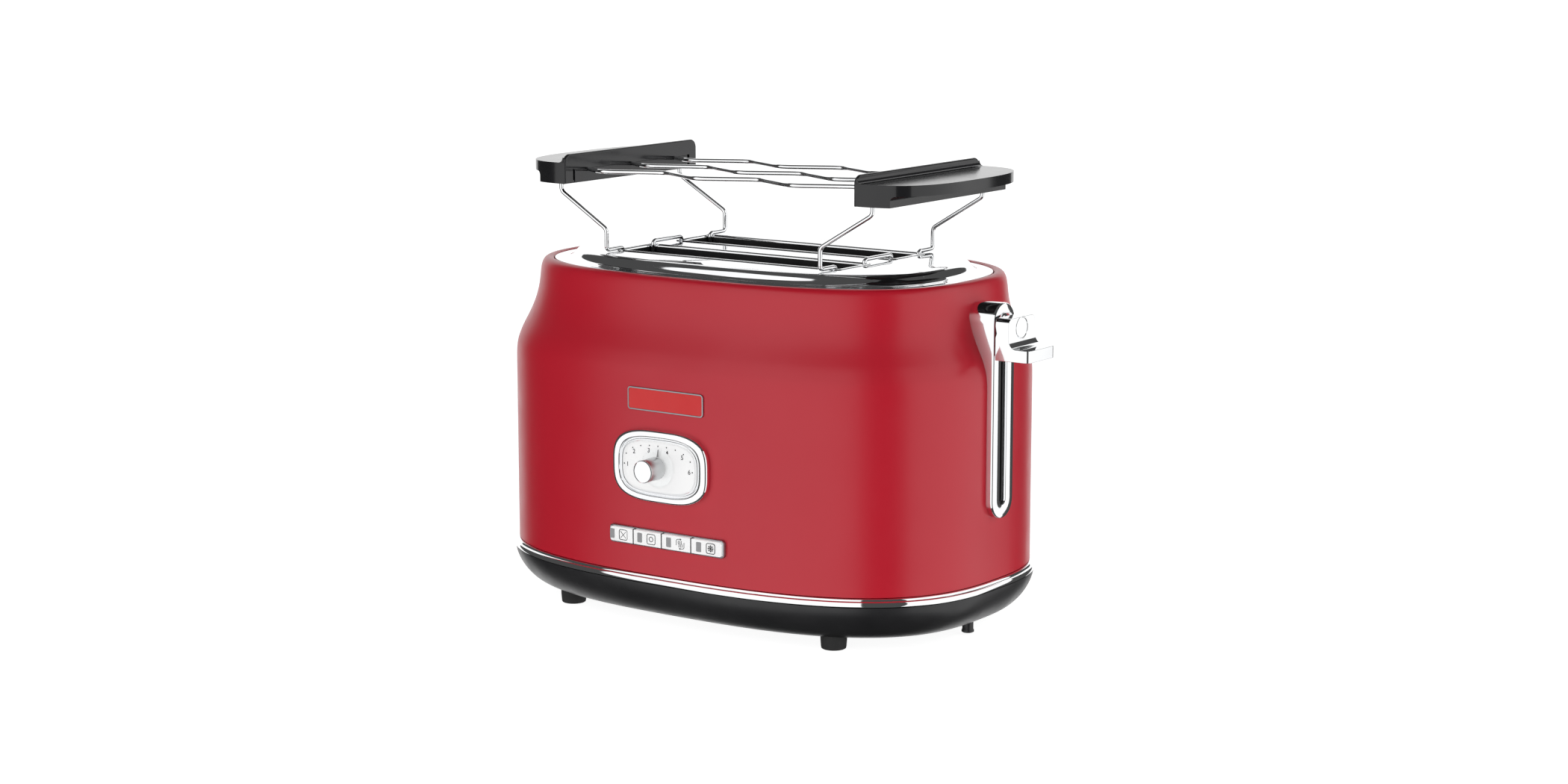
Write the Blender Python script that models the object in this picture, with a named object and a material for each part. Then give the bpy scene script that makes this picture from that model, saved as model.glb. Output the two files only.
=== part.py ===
"""Two-slice pop-up toaster with a wire warming rack.

All sizes below are millimetres in the toaster's own axes: X along its length with the
lever at +X, Y across it with the dial at -Y, Z up from the surface it stands on. Meshes
are built in metres. AXIS_SHIFT then moves everything so that the world origin is under
the centre of the whole toaster's box, lever and knob included.
"""
import math

import bmesh
import bpy
from mathutils import Vector

MM = 0.001
GAP = 0.3                       # clearance between pieces that touch

# Plan outline: |x / a| ** n + |y / b| ** n = 1
PLAN_POWER = 2.75
PLAN_POINTS = 44
BODY_A = 145.3
BODY_B = 97.0

# Heights of the housing
BASE_BOTTOM = 7.7
BASE_TOP = 27.3
BAND_TOP = 32.0
DECK_TOP = 194.3

# Housing
BAND_A = 148.2
BAND_B = 99.2
BASE_A = 147.5
BASE_B = 98.5
BASE_CURVE = 15.4               # how far the base draws in towards its flat underside
SHELL_WALL = 1.6
BASE_WALL = 2.5
# inset from the body outline and height, up the outside of the shell and over its rim
SHELL_OUTSIDE = ((0.0, BAND_TOP + GAP), (0.0, 134.0), (0.6, 142.0), (3.2, 150.0), (7.0, 158.0),
                 (10.0, 166.0), (12.0, 174.0), (12.6, 181.0), (13.6, 185.6), (15.4, 188.0),
                 (17.4, 188.8), (19.0, 188.4), (19.7, 187.2))
# down the inside of the shell
SHELL_INSIDE = ((18.6, 186.8), (17.2, 187.2), (15.9, 186.0), (14.4, 181.8), (13.6, 173.6),
                (11.6, 165.4), (8.6, 157.4), (4.8, 149.4), (2.2, 141.6), (SHELL_WALL, 133.6),
                (SHELL_WALL, BAND_TOP + GAP))

# Deck: half length, half width and height, from the channel inside the rim to the flat top
DECK_STEPS = ((125.3, 77.0, 188.3), (118.4, 70.8, 188.4), (114.6, 68.2, 189.8),
              (112.2, 66.9, 192.3), (108.0, 64.5, DECK_TOP))
DECK_THICKNESS = 1.5
SLOT_HALF_LENGTH = 72.0
SLOT_INNER = 11.4
SLOT_OUTER = 41.2
SLOT_MID = (SLOT_INNER + SLOT_OUTER) / 2

# Feet and cord-wrap posts
FOOT_X = 87.0
FOOT_Y = 65.0
FOOT_RADIUS = 7.0
POST_X = 128.5
POST_RADIUS = 3.4

# Front controls
FRONT = -BODY_B - GAP           # plane that the trims on the front face stand on
KNOB_Z = 91.2
KNOB_RADIUS = 6.0
KNOB_END = -114.2
KNOB_BASE = -102.2
SHAFT_RADIUS = 3.0
BEZEL_HALF = (31.0, 19.4)
BEZEL_OPENING = (26.0, 15.1)
BEZEL_FRONT = -100.6
SKIRT_RADIUS = 10.4
PANEL_CENTRE = (2.9, 52.0)
PANEL_HALF = (37.5, 4.8)
PANEL_BORDER = 0.8
# lines between the buttons, and the two ends of their row
BUTTON_EDGES = (-33.8, -17.8, 1.0, 20.2, 39.6)
BUTTON_NAMES = ("cancel", "one_side", "reheat", "defrost")
BUTTON_GAP = 0.35
BUTTON_FRONT = -99.7
BUTTON_BACK = -95.0
PLUNGER_END = -89.0
BADGE_CENTRE = (2.4, 126.0)
BADGE_HALF = (24.6, 6.1)

# Lever, its trim and the carriage behind it
TRIM_HALF_WIDTH = 10.4
TRIM_LOW = 65.0
TRIM_HIGH = 179.0
TRIM_BACK = 131.0
TRIM_FRONT = 149.0
LEVER_SLOT_HALF = 2.65
LEVER_BACK = 151.5
LEVER_FACE = 159.3
LEVER_TIP = 171.5
LEVER_LOW = 150.7
LEVER_SHELF = 157.0
LEVER_HIGH = 172.5
LEVER_HALF_WIDTH = 13.5
CARRIAGE_X = 89.5
SHEET = 1.5
ROD_X = 98.0
ROD_Y = 12.0
ROD_RADIUS = 2.4

# Toasting chamber
CHASSIS_X = 82.5
CHASSIS_LOW = 22.5
CHASSIS_HIGH = 183.5
REFLECTOR_Y = 54.0
HEATER_Y = 47.0
GUARD_INNER = 14.0
GUARD_OUTER = 38.1
GUARD_HALF_LENGTH = 66.0
LIFTER_LOW = 104.0
LIFTER_HIGH = 107.0
LEVER_TRAVEL = 70.0

# Crumb tray
TRAY_HALF_WIDTH = 60.0
TRAY_FRONT = -70.0
TRAY_REAR = 96.5
TRAY_LOW = 11.6
TRAY_HIGH = 17.8

# Warming rack
WIRE_RADIUS = 1.2
PLATE_X = 94.3
PLATE_THICKNESS = 2.2
HANDLE_HALF_WIDTH = 59.2
PLATE_LOW = 230.4
PLATE_HIGH = 246.5
MOON_REACH = 38.7
MOON_POWER = 3.0
MOON_LOW = 236.4
MOON_HIGH = 242.0
BLOCK_REACH = 20.2
BLOCK_HALF_WIDTH = 58.6
LEG_Y = 53.2
LEG_TOP_X = 102.0
LEG_BEND_Z = 226.0
LEG_FOOT_X = 70.2
LEG_FOOT_Y = 54.1
LEG_FOOT_BEND_Z = 207.1
SUPPORT_Y = 39.0
SUPPORT_Z = 237.2
SUPPORT_SWING = 8.0
SUPPORT_RUNS = 6

# The world origin is under the centre of the box around everything
AXIS_SHIFT = (-(LEVER_TIP - BAND_A) / 2, -(BAND_B + KNOB_END) / 2, 0.0)

# Finishes: base colour, metallic, roughness
RED = ((0.46, 0.012, 0.02), 0.0, 0.42)
CHROME = ((0.78, 0.79, 0.80), 1.0, 0.08)
STEEL = ((0.55, 0.55, 0.56), 1.0, 0.35)
BLACK_GLOSS = ((0.02, 0.02, 0.022), 0.0, 0.18)
BLACK_SATIN = ((0.025, 0.025, 0.027), 0.0, 0.45)
RUBBER = ((0.03, 0.03, 0.03), 0.0, 0.8)
WHITE = ((0.85, 0.85, 0.83), 0.0, 0.35)
CLEAR = ((0.9, 0.92, 0.93), 0.0, 0.1)
MICA = ((0.62, 0.55, 0.42), 0.0, 0.5)
BOARD = ((0.03, 0.16, 0.07), 0.0, 0.5)
COIL = ((0.55, 0.25, 0.12), 1.0, 0.35)


# ---------------------------------------------------------------- scene helpers

def clear_scene():
    for old in list(bpy.data.objects):
        bpy.data.objects.remove(old, do_unlink=True)


def add_axis():
    axis = bpy.data.objects.new("toaster_axis", None)
    axis.location = Vector(AXIS_SHIFT) * MM
    bpy.context.scene.collection.objects.link(axis)
    return axis


def make_material(name, finish):
    colour, metallic, roughness = finish
    material = bpy.data.materials.new(name)
    material.use_nodes = True
    shader = material.node_tree.nodes["Principled BSDF"]
    shader.inputs["Base Color"].default_value = (*colour, 1.0)
    shader.inputs["Metallic"].default_value = metallic
    shader.inputs["Roughness"].default_value = roughness
    return material


def place(name, data, finish, origin):
    piece = bpy.data.objects.new(name, data)
    piece.parent = AXIS
    piece.location = Vector(origin) * MM
    if finish is not None:
        data.materials.append(make_material(name, finish))
    bpy.context.scene.collection.objects.link(piece)
    return piece


def solid(name, points, faces, finish, origin=(0.0, 0.0, 0.0)):
    """A closed mesh from points in the toaster's axes, with its origin at the given point."""
    mesh = bpy.data.meshes.new(name)
    shift = Vector(origin)
    mesh.from_pydata([(Vector(point) - shift) * MM for point in points], [], faces)
    work = bmesh.new()
    work.from_mesh(mesh)
    bmesh.ops.recalc_face_normals(work, faces=work.faces)
    work.to_mesh(mesh)
    work.free()
    mesh.shade_smooth()
    mesh.set_sharp_from_angle(angle=math.radians(35))
    return place(name, mesh, finish, origin)


def loft(rings, closed=False):
    """Skin a list of rings of equal length. A closed loft joins the last ring to the first."""
    count = len(rings[0])
    points = [point for ring in rings for point in ring]
    faces = []
    spans = len(rings) if closed else len(rings) - 1
    for row in range(spans):
        low = row * count
        high = ((row + 1) % len(rings)) * count
        for column in range(count):
            after = (column + 1) % count
            faces.append((low + column, low + after, high + after, high + column))
    if not closed:
        faces.append(tuple(reversed(range(count))))
        faces.append(tuple(range(len(points) - count, len(points))))
    return points, faces


# ---------------------------------------------------------------- outlines

def superellipse(half_x, half_y, power=PLAN_POWER, count=PLAN_POINTS):
    outline = []
    for step in range(count):
        angle = 2 * math.pi * step / count
        across = math.cos(angle)
        along = math.sin(angle)
        outline.append((half_x * math.copysign(abs(across) ** (2 / power), across),
                        half_y * math.copysign(abs(along) ** (2 / power), along)))
    return outline


def circle(radius, count=16, turn=0.0):
    steps = [2 * math.pi * step / count + turn for step in range(count)]
    return [(radius * math.cos(angle), radius * math.sin(angle)) for angle in steps]


def rounded_rectangle(half_x, half_y, radius, steps=3):
    outline = []
    for quarter, (side_x, side_y) in enumerate(((1, 1), (-1, 1), (-1, -1), (1, -1))):
        for step in range(steps + 1):
            angle = math.pi / 2 * (quarter + step / steps)
            outline.append((side_x * (half_x - radius) + radius * math.cos(angle),
                            side_y * (half_y - radius) + radius * math.sin(angle)))
    return outline


def moved(outline, shift_x, shift_y):
    return [(x + shift_x, y + shift_y) for x, y in outline]


def on_plane(outline, axis, place_on_axis):
    """Lift a flat outline into space, on the plane across the named axis."""
    if axis == "x":
        return [(place_on_axis, first, second) for first, second in outline]
    if axis == "y":
        return [(first, place_on_axis, second) for first, second in outline]
    return [(first, second, place_on_axis) for first, second in outline]


# ---------------------------------------------------------------- shapes

def box(name, low, high, finish, origin=(0.0, 0.0, 0.0)):
    ring = ((low[0], low[1]), (high[0], low[1]), (high[0], high[1]), (low[0], high[1]))
    rings = [on_plane(ring, "z", low[2]), on_plane(ring, "z", high[2])]
    return solid(name, *loft(rings), finish, origin)


def prism(name, outline, axis, start, end, finish, origin=(0.0, 0.0, 0.0)):
    rings = [on_plane(outline, axis, start), on_plane(outline, axis, end)]
    return solid(name, *loft(rings), finish, origin)


def frame(name, outer, inner, axis, start, end, finish, origin=(0.0, 0.0, 0.0)):
    """An extruded ring between two outlines of equal length."""
    rings = [on_plane(outer, axis, start), on_plane(outer, axis, end),
             on_plane(inner, axis, end), on_plane(inner, axis, start)]
    return solid(name, *loft(rings, closed=True), finish, origin)


def stack(name, levels, axis, finish, origin=(0.0, 0.0, 0.0)):
    """A solid through a list of (outline, place on the axis)."""
    rings = [on_plane(outline, axis, where) for outline, where in levels]
    return solid(name, *loft(rings), finish, origin)


def lattice(name, columns, rows, low_y, high_y, finish, origin):
    """A flat grid of bars in XZ: columns and rows are the (low, high) spans of its bars."""
    xs = [edge for span in columns for edge in span]
    zs = [edge for span in rows for edge in span]
    points = [(x, y, z) for y in (low_y, high_y) for z in zs for x in xs]
    layer = len(xs) * len(zs)

    def is_bar(column, row):
        inside = 0 <= column < len(xs) - 1 and 0 <= row < len(zs) - 1
        return inside and (column % 2 == 0 or row % 2 == 0)

    faces = []
    for row in range(len(zs) - 1):
        for column in range(len(xs) - 1):
            if not is_bar(column, row):
                continue
            corner = row * len(xs) + column
            across = corner + 1
            up = corner + len(xs)
            faces.append((corner, across, up + 1, up))
            faces.append((corner + layer, up + layer, up + 1 + layer, across + layer))
            if not is_bar(column, row - 1):
                faces.append((corner, corner + layer, across + layer, across))
            if not is_bar(column, row + 1):
                faces.append((up, up + 1, up + 1 + layer, up + layer))
            if not is_bar(column - 1, row):
                faces.append((corner, up, up + layer, corner + layer))
            if not is_bar(column + 1, row):
                faces.append((across, across + layer, up + 1 + layer, up + 1))
    return solid(name, points, faces, finish, origin)


def rounded_path(corners, radius, steps=3):
    """Points along straight runs, with each corner rounded by a short curve."""
    path = [Vector(corners[0])]
    for before, corner, after in zip(corners, corners[1:], corners[2:]):
        corner = Vector(corner)
        back = Vector(before) - corner
        ahead = Vector(after) - corner
        reach = min(radius, back.length / 2.01, ahead.length / 2.01)
        entry = corner + back.normalized() * reach
        leave = corner + ahead.normalized() * reach
        for step in range(steps + 1):
            t = step / steps
            path.append(entry * (1 - t) ** 2 + corner * 2 * t * (1 - t) + leave * t ** 2)
    path.append(Vector(corners[-1]))
    return path


def wire(name, path, radius, finish, resolution=1):
    """A round wire along a list of points, as a curve with a bevel and filled ends."""
    curve = bpy.data.curves.new(name, "CURVE")
    curve.dimensions = "3D"
    curve.bevel_depth = radius * MM
    curve.bevel_resolution = resolution
    curve.use_fill_caps = True
    curve.render_resolution_u = 0
    spline = curve.splines.new("POLY")
    spline.points.add(len(path) - 1)
    for slot, point in zip(spline.points, path):
        slot.co = (*(Vector(point) * MM), 1.0)
    return place(name, curve, finish, (0.0, 0.0, 0.0))


def hide_tool(tool):
    tool.hide_render = True
    tool.display_type = "WIRE"


def combine(target, tool, operation):
    hide_tool(tool)
    modifier = target.modifiers.new(operation.lower() + "_" + tool.name, "BOOLEAN")
    modifier.operation = operation
    modifier.solver = "EXACT"
    modifier.object = tool


def cut(target, tool):
    combine(target, tool, "DIFFERENCE")


def unite(target, tool):
    combine(target, tool, "UNION")


# ---------------------------------------------------------------- housing

def body_ring(inset, height):
    return on_plane(superellipse(BODY_A - inset, BODY_B - inset), "z", height)


def lever_window(clearance):
    """Rounded upright outline of the lever's trim, in Y and Z, grown by the clearance."""
    middle = (TRIM_LOW + TRIM_HIGH) / 2
    half_height = (TRIM_HIGH - TRIM_LOW) / 2 + clearance
    width = TRIM_HALF_WIDTH + clearance
    return moved(rounded_rectangle(width, half_height, width, 5), 0.0, middle)


def build_shell():
    rings = [body_ring(inset, height) for inset, height in SHELL_OUTSIDE + SHELL_INSIDE]
    shell = solid("outer_shell", *loft(rings, closed=True), RED)
    cut(shell, prism("lever_opening", lever_window(GAP), "x", 120.0, 155.0, None))
    shaft_hole = moved(circle(9.0, 20), 0.0, KNOB_Z)
    cut(shell, prism("shaft_opening", shaft_hole, "y", -105.0, -85.0, None))
    middle_x, middle_z = PANEL_CENTRE
    half_x = PANEL_HALF[0] - 0.5
    half_z = PANEL_HALF[1] - 0.5
    cut(shell, box("button_opening", (middle_x - half_x, -105.0, middle_z - half_z),
                   (middle_x + half_x, -85.0, middle_z + half_z), None))


def build_deck():
    under = [(a - 0.6, b - 0.6, z - DECK_THICKNESS) for a, b, z in reversed(DECK_STEPS)]
    rings = [on_plane(superellipse(a, b), "z", z) for a, b, z in under + list(DECK_STEPS)]
    deck = solid("top_deck", *loft(rings), CHROME)
    half_width = (SLOT_OUTER - SLOT_INNER) / 2
    for label, side in (("front", -1), ("rear", 1)):
        outline = moved(rounded_rectangle(SLOT_HALF_LENGTH, half_width, 1.2), 0.0, side * SLOT_MID)
        cut(deck, prism("slot_" + label, outline, "z", 180.0, 200.0, None))


def base_ring(turn, wall):
    """One level of the base, from its top edge at 0 to its flat underside at a right angle."""
    roundness = 2 / 1.614
    inset = BASE_CURVE * (1 - max(math.cos(turn), 0.0) ** roundness)
    height = BASE_TOP - (BASE_TOP - BASE_BOTTOM) * math.sin(turn) ** roundness
    return superellipse(BASE_A - inset - wall, BASE_B - inset - wall), max(height, BASE_BOTTOM + wall)


def build_base():
    steps = 5
    turns = [math.pi / 2 * step / steps for step in range(steps + 1)]
    outside = [base_ring(turn, 0.0) for turn in reversed(turns)]
    inside = [base_ring(turn, BASE_WALL) for turn in turns[:-1]]
    rings = [on_plane(outline, "z", height) for outline, height in outside + inside]
    base = solid("base_tray", *loft(rings), BLACK_SATIN)
    for label, side in (("left", -1), ("right", 1)):
        near, far = sorted((side * 80.0, side * 86.0))
        unite(base, box("rib_" + label, (near, -45.0, BASE_BOTTOM + 1), (far, 45.0, CHASSIS_LOW - GAP), None))
    half_width = TRAY_HALF_WIDTH + 0.6
    cut(base, box("tray_opening", (-half_width, 60.0, TRAY_LOW - 0.5), (half_width, 110.0, TRAY_HIGH + 0.5), None))
    cut(base, prism("bushing_opening", moved(circle(5.1), -100.0, 17.0), "y", 68.0, 95.0, None))


def build_band():
    outer = superellipse(BAND_A, BAND_B)
    inner = superellipse(BODY_A - 2.3, BODY_B - 2.3)
    frame("base_band", outer, inner, "z", BASE_TOP + GAP, BAND_TOP, CHROME)


def build_feet():
    for label_y, side_y in (("front", -1), ("rear", 1)):
        for label_x, side_x in (("left", -1), ("right", 1)):
            wide = moved(circle(FOOT_RADIUS), side_x * FOOT_X, side_y * FOOT_Y)
            narrow = moved(circle(FOOT_RADIUS - 0.6), side_x * FOOT_X, side_y * FOOT_Y)
            stack("foot_" + label_y + "_" + label_x,
                  [(narrow, 0.0), (wide, 1.5), (wide, BASE_BOTTOM - GAP)], "z", RUBBER)
    for label, side in (("left", -1), ("right", 1)):
        outline = moved(circle(POST_RADIUS, 12), side * POST_X, 0.0)
        prism("cord_post_" + label, outline, "z", 1.0, BASE_BOTTOM - GAP, BLACK_SATIN)
    frame("cord_bushing", moved(circle(4.8), -100.0, 17.0), moved(circle(2.6), -100.0, 17.0),
          "y", 73.0, 84.0, RUBBER)


# ---------------------------------------------------------------- front controls

def build_dial():
    outer = moved(superellipse(*BEZEL_HALF, 3.2, 32), 0.0, KNOB_Z)
    inner = moved(superellipse(*BEZEL_OPENING, 3.2, 32), 0.0, KNOB_Z)
    frame("dial_bezel", outer, inner, "y", BEZEL_FRONT, FRONT, CHROME)
    plate = moved(superellipse(BEZEL_OPENING[0] - GAP, BEZEL_OPENING[1] - GAP, 3.2, 32), 0.0, KNOB_Z)
    hole = moved(circle(SHAFT_RADIUS + 0.4, 32), 0.0, KNOB_Z)
    frame("dial_face", plate, hole, "y", BEZEL_FRONT - 0.3, FRONT, WHITE)
    skirt = moved(circle(SKIRT_RADIUS, 32), 0.0, KNOB_Z)
    bore = moved(circle(SHAFT_RADIUS + GAP, 32), 0.0, KNOB_Z)
    hub = (0.0, KNOB_BASE, KNOB_Z)
    frame("dial_skirt", skirt, bore, "y", KNOB_BASE + GAP, KNOB_BASE + 1.0, CLEAR, hub)
    knob = [(circle(KNOB_RADIUS - 0.6, 20), KNOB_END), (circle(KNOB_RADIUS, 20), KNOB_END + 0.6),
            (circle(KNOB_RADIUS, 20), KNOB_BASE), (circle(SHAFT_RADIUS, 20), KNOB_BASE),
            (circle(SHAFT_RADIUS, 20), -88.6)]
    levels = [(moved(outline, 0.0, KNOB_Z), where) for outline, where in knob]
    stack("browning_knob", levels, "y", CHROME, hub)
    case = moved(rounded_rectangle(9.0, 9.0, 1.0, 4), 0.0, KNOB_Z)
    socket = moved(circle(SHAFT_RADIUS + GAP, 20, math.pi / 20), 0.0, KNOB_Z)
    frame("dial_control", case, socket, "y", -94.4, -86.3, BLACK_SATIN)
    box("control_board", (-42.0, -86.0, 42.0), (42.0, -84.4, 108.0), BOARD)


def build_buttons():
    panel = moved(rounded_rectangle(*PANEL_HALF, 2.0), *PANEL_CENTRE)
    opening_half = (PANEL_HALF[0] - PANEL_BORDER, PANEL_HALF[1] - PANEL_BORDER)
    opening = moved(rounded_rectangle(*opening_half, 1.1), *PANEL_CENTRE)
    frame("button_frame", panel, opening, "y", FRONT - 1.6, FRONT, CHROME)
    height = PANEL_CENTRE[1]
    half_z = opening_half[1] - BUTTON_GAP
    for label, low, high in zip(BUTTON_NAMES, BUTTON_EDGES, BUTTON_EDGES[1:]):
        middle = (low + high) / 2
        half_x = (high - low) / 2 - BUTTON_GAP
        face = moved(rounded_rectangle(half_x - 0.4, half_z - 0.4, 0.6, 2), middle, height)
        full = moved(rounded_rectangle(half_x, half_z, 0.9, 2), middle, height)
        plunger = moved(rounded_rectangle(1.6, 1.6, 0.4, 2), middle, height)
        levels = [(face, BUTTON_FRONT), (full, BUTTON_FRONT + 0.5), (full, BUTTON_BACK),
                  (plunger, BUTTON_BACK), (plunger, PLUNGER_END)]
        stack("button_" + label, levels, "y", CHROME, (middle, BUTTON_FRONT, height))


def build_badge():
    outline = moved(rounded_rectangle(*BADGE_HALF, 0.8, 2), *BADGE_CENTRE)
    prism("badge_plate", outline, "y", FRONT - 0.6, FRONT, CHROME)


# ---------------------------------------------------------------- lever and carriage

def build_lever():
    half_height = (TRIM_HIGH - TRIM_LOW) / 2 - 3.4
    middle = (TRIM_HIGH + TRIM_LOW) / 2
    slot = moved(rounded_rectangle(LEVER_SLOT_HALF, half_height, LEVER_SLOT_HALF, 5), 0.0, middle)
    frame("lever_trim", lever_window(0.0), slot, "x", TRIM_BACK, TRIM_FRONT, CHROME)
    corner = LEVER_SHELF + 2.5
    profile = ((LEVER_BACK, LEVER_LOW), (LEVER_TIP - 1.5, LEVER_LOW), (LEVER_TIP, LEVER_LOW + 1.5),
               (LEVER_TIP, LEVER_SHELF - 1.5), (LEVER_TIP - 1.5, LEVER_SHELF),
               (LEVER_FACE + 2.5, LEVER_SHELF), (LEVER_FACE + 0.7, LEVER_SHELF + 0.7),
               (LEVER_FACE, corner), (LEVER_FACE, LEVER_HIGH - 1.5), (LEVER_FACE - 1.5, LEVER_HIGH),
               (LEVER_BACK + 1.5, LEVER_HIGH), (LEVER_BACK, LEVER_HIGH - 1.5))
    prism("lever_handle", profile, "y", -LEVER_HALF_WIDTH, LEVER_HALF_WIDTH, CHROME,
          (LEVER_BACK, 0.0, LEVER_LOW))


def build_carriage():
    back = CARRIAGE_X
    front = CARRIAGE_X + SHEET
    low = 100.0
    carriage = box("carriage", (back, -34.0, low), (front, 34.0, 110.0), STEEL, (ROD_X, 0.0, low))
    unite(carriage, box("carriage_post", (back, -6.0, 105.0), (front, 6.0, 166.0), None))
    unite(carriage, box("lever_arm", (back + 0.5, -1.2, 156.0), (LEVER_BACK - GAP, 1.2, 165.5), None))
    unite(carriage, box("armature_tab", (back + 0.5, 20.0, 105.8), (107.0, 32.0, 107.2), None))
    unite(carriage, box("rod_sleeve", (back + 0.5, 6.5, 101.0), (104.0, 17.5, 109.0), None))
    unite(carriage, box("spring_tab", (back + 0.5, -17.0, 101.0), (104.0, -7.0, 103.0), None))
    hole = moved(circle(ROD_RADIUS + GAP), ROD_X, ROD_Y)
    cut(carriage, prism("rod_hole", hole, "z", 95.0, 115.0, None))
    for label, side in (("front", -1), ("rear", 1)):
        near, far = sorted((side * (SLOT_MID - 2.1), side * (SLOT_MID + 2.1)))
        box("bread_lifter_" + label, (-72.0, near, LIFTER_LOW), (back - GAP, far, LIFTER_HIGH), STEEL,
            (0.0, side * SLOT_MID, LIFTER_LOW))
    prism("guide_rod", moved(circle(ROD_RADIUS, 12), ROD_X, ROD_Y), "z", 25.8, 178.2, STEEL)
    turns = 9
    points_per_turn = 9
    bottom = 104.0
    top = 177.6
    count = turns * points_per_turn
    coil = []
    for step in range(count + 1):
        angle = 2 * math.pi * step / points_per_turn
        height = bottom + (top - bottom) * step / count
        coil.append((ROD_X + 4.0 * math.cos(angle), -ROD_Y + 4.0 * math.sin(angle), height))
    wire("return_spring", coil, 0.6, STEEL, 0)
    outline = moved(rounded_rectangle(7.0, 6.5, 1.5, 2), 101.0, 26.0)
    prism("latch_magnet", outline, "z", 25.8, 35.2, COIL)


# ---------------------------------------------------------------- toasting chamber

def build_chassis():
    for label, side in (("left", -1), ("right", 1)):
        near, far = sorted((side * CHASSIS_X, side * (CHASSIS_X + SHEET)))
        plate = box("end_plate_" + label, (near, -58.0, CHASSIS_LOW), (far, 58.0, CHASSIS_HIGH), STEEL)
        if side > 0:
            outer = 106.0
            unite(plate, box("top_flange", (far - 0.8, -20.0, 178.5), (outer, 20.0, 180.0), None))
            unite(plate, box("low_flange", (far - 0.8, -20.0, 24.0), (outer + 3.0, 34.0, 25.5), None))
            for slot_label, slot_side in (("front", -1), ("rear", 1)):
                low_y, high_y = sorted((slot_side * (SLOT_MID - 3.0), slot_side * (SLOT_MID + 3.0)))
                cut(plate, box("lifter_way_" + slot_label, (near - 2, low_y, LIFTER_LOW - LEVER_TRAVEL - 1.5),
                               (far + 2, high_y, LIFTER_HIGH + 1.5), None))
    for label, side in (("front", -1), ("rear", 1)):
        near, far = sorted((side * REFLECTOR_Y, side * (REFLECTOR_Y + 0.8)))
        box("reflector_" + label, (-CHASSIS_X + GAP, near, CHASSIS_LOW + 0.5),
            (CHASSIS_X - GAP, far, CHASSIS_HIGH - 0.5), STEEL)
    for label, middle in (("front", -HEATER_Y), ("centre", 0.0), ("rear", HEATER_Y)):
        box("heater_" + label, (-70.0, middle - 0.6, 30.0), (70.0, middle + 0.6, 180.0), MICA)


def build_guards():
    bar = 0.8
    columns = [(22.0 * step - bar, 22.0 * step + bar) for step in range(-3, 4)]
    rows = [(where - bar, where + bar) for where in (42.0, 112.0, 181.0)]
    places = (("front_outer", -GUARD_OUTER), ("front_inner", -GUARD_INNER),
              ("rear_inner", GUARD_INNER), ("rear_outer", GUARD_OUTER))
    for label, middle in places:
        lattice("guard_" + label, columns, rows, middle - bar, middle + bar, STEEL,
                (0.0, middle, rows[0][0]))


def build_crumb_tray():
    wall = 1.0
    middle = (TRAY_FRONT + TRAY_REAR) / 2
    half_length = (TRAY_REAR - TRAY_FRONT) / 2
    outer = moved(rounded_rectangle(TRAY_HALF_WIDTH, half_length, 1.2, 1), 0.0, middle)
    inner = moved(rounded_rectangle(TRAY_HALF_WIDTH - wall, half_length - wall, 0.6, 1), 0.0, middle)
    levels = [(outer, TRAY_LOW), (outer, TRAY_HIGH), (inner, TRAY_HIGH), (inner, TRAY_LOW + wall)]
    tray = stack("crumb_tray", levels, "z", STEEL, (0.0, TRAY_REAR, TRAY_LOW))
    fascia = moved(rounded_rectangle(TRAY_HALF_WIDTH + 2.0, 3.85, 2.0, 2), 0.0, 14.75)
    unite(tray, prism("tray_fascia", fascia, "y", TRAY_REAR - 0.5, TRAY_REAR + 1.1, None))


# ---------------------------------------------------------------- warming rack

def mirrored(points, side):
    return [(side * x, y, z) for x, y, z in points]


def build_handle(label, side):
    half_height = (PLATE_HIGH - PLATE_LOW) / 2
    inner = PLATE_X
    outer = PLATE_X + PLATE_THICKNESS
    plate = moved(rounded_rectangle(HANDLE_HALF_WIDTH, half_height, 3.5), 0.0, PLATE_LOW + half_height)
    ends = sorted((side * inner, side * outer))
    handle = prism("rack_handle_" + label, plate, "x", *ends, BLACK_GLOSS)
    arc = superellipse(MOON_REACH, HANDLE_HALF_WIDTH - 0.1, MOON_POWER, 48)
    moon = [(side * (inner + x), y) for x, y in arc if x > 1.0]
    unite(handle, prism("moon_" + label, moon, "z", MOON_LOW, MOON_HIGH, None))
    near, far = sorted((side * (inner + 1.0), side * (inner + BLOCK_REACH)))
    block = moved(rounded_rectangle((far - near) / 2, BLOCK_HALF_WIDTH, 3.0, 2), (near + far) / 2, 0.0)
    unite(handle, prism("block_" + label, block, "z", PLATE_LOW + 0.3, MOON_LOW + 1.0, None))


def build_leg(label, side):
    """One wire: down from the handle, over the deck's edge, through both slots and back up."""
    deck_z = DECK_TOP + GAP + WIRE_RADIUS
    dip_z = deck_z - 9.0
    slot_outer = SLOT_OUTER - WIRE_RADIUS - GAP
    slot_inner = SLOT_INNER + WIRE_RADIUS + GAP
    foot = LEG_FOOT_X
    half = ((LEG_TOP_X, LEG_Y, PLATE_LOW), (LEG_TOP_X, LEG_Y, LEG_BEND_Z),
            (foot, LEG_FOOT_Y, LEG_FOOT_BEND_Z), (foot, LEG_FOOT_Y, deck_z),
            (foot, slot_outer, deck_z), (foot, slot_outer, dip_z),
            (foot, slot_inner, dip_z), (foot, slot_inner, deck_z))
    front = [(x, -y, z) for x, y, z in half]
    corners = mirrored(front + list(reversed(half)), side)
    wire("rack_leg_" + label, rounded_path(corners, 2.2), WIRE_RADIUS, CHROME)


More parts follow.
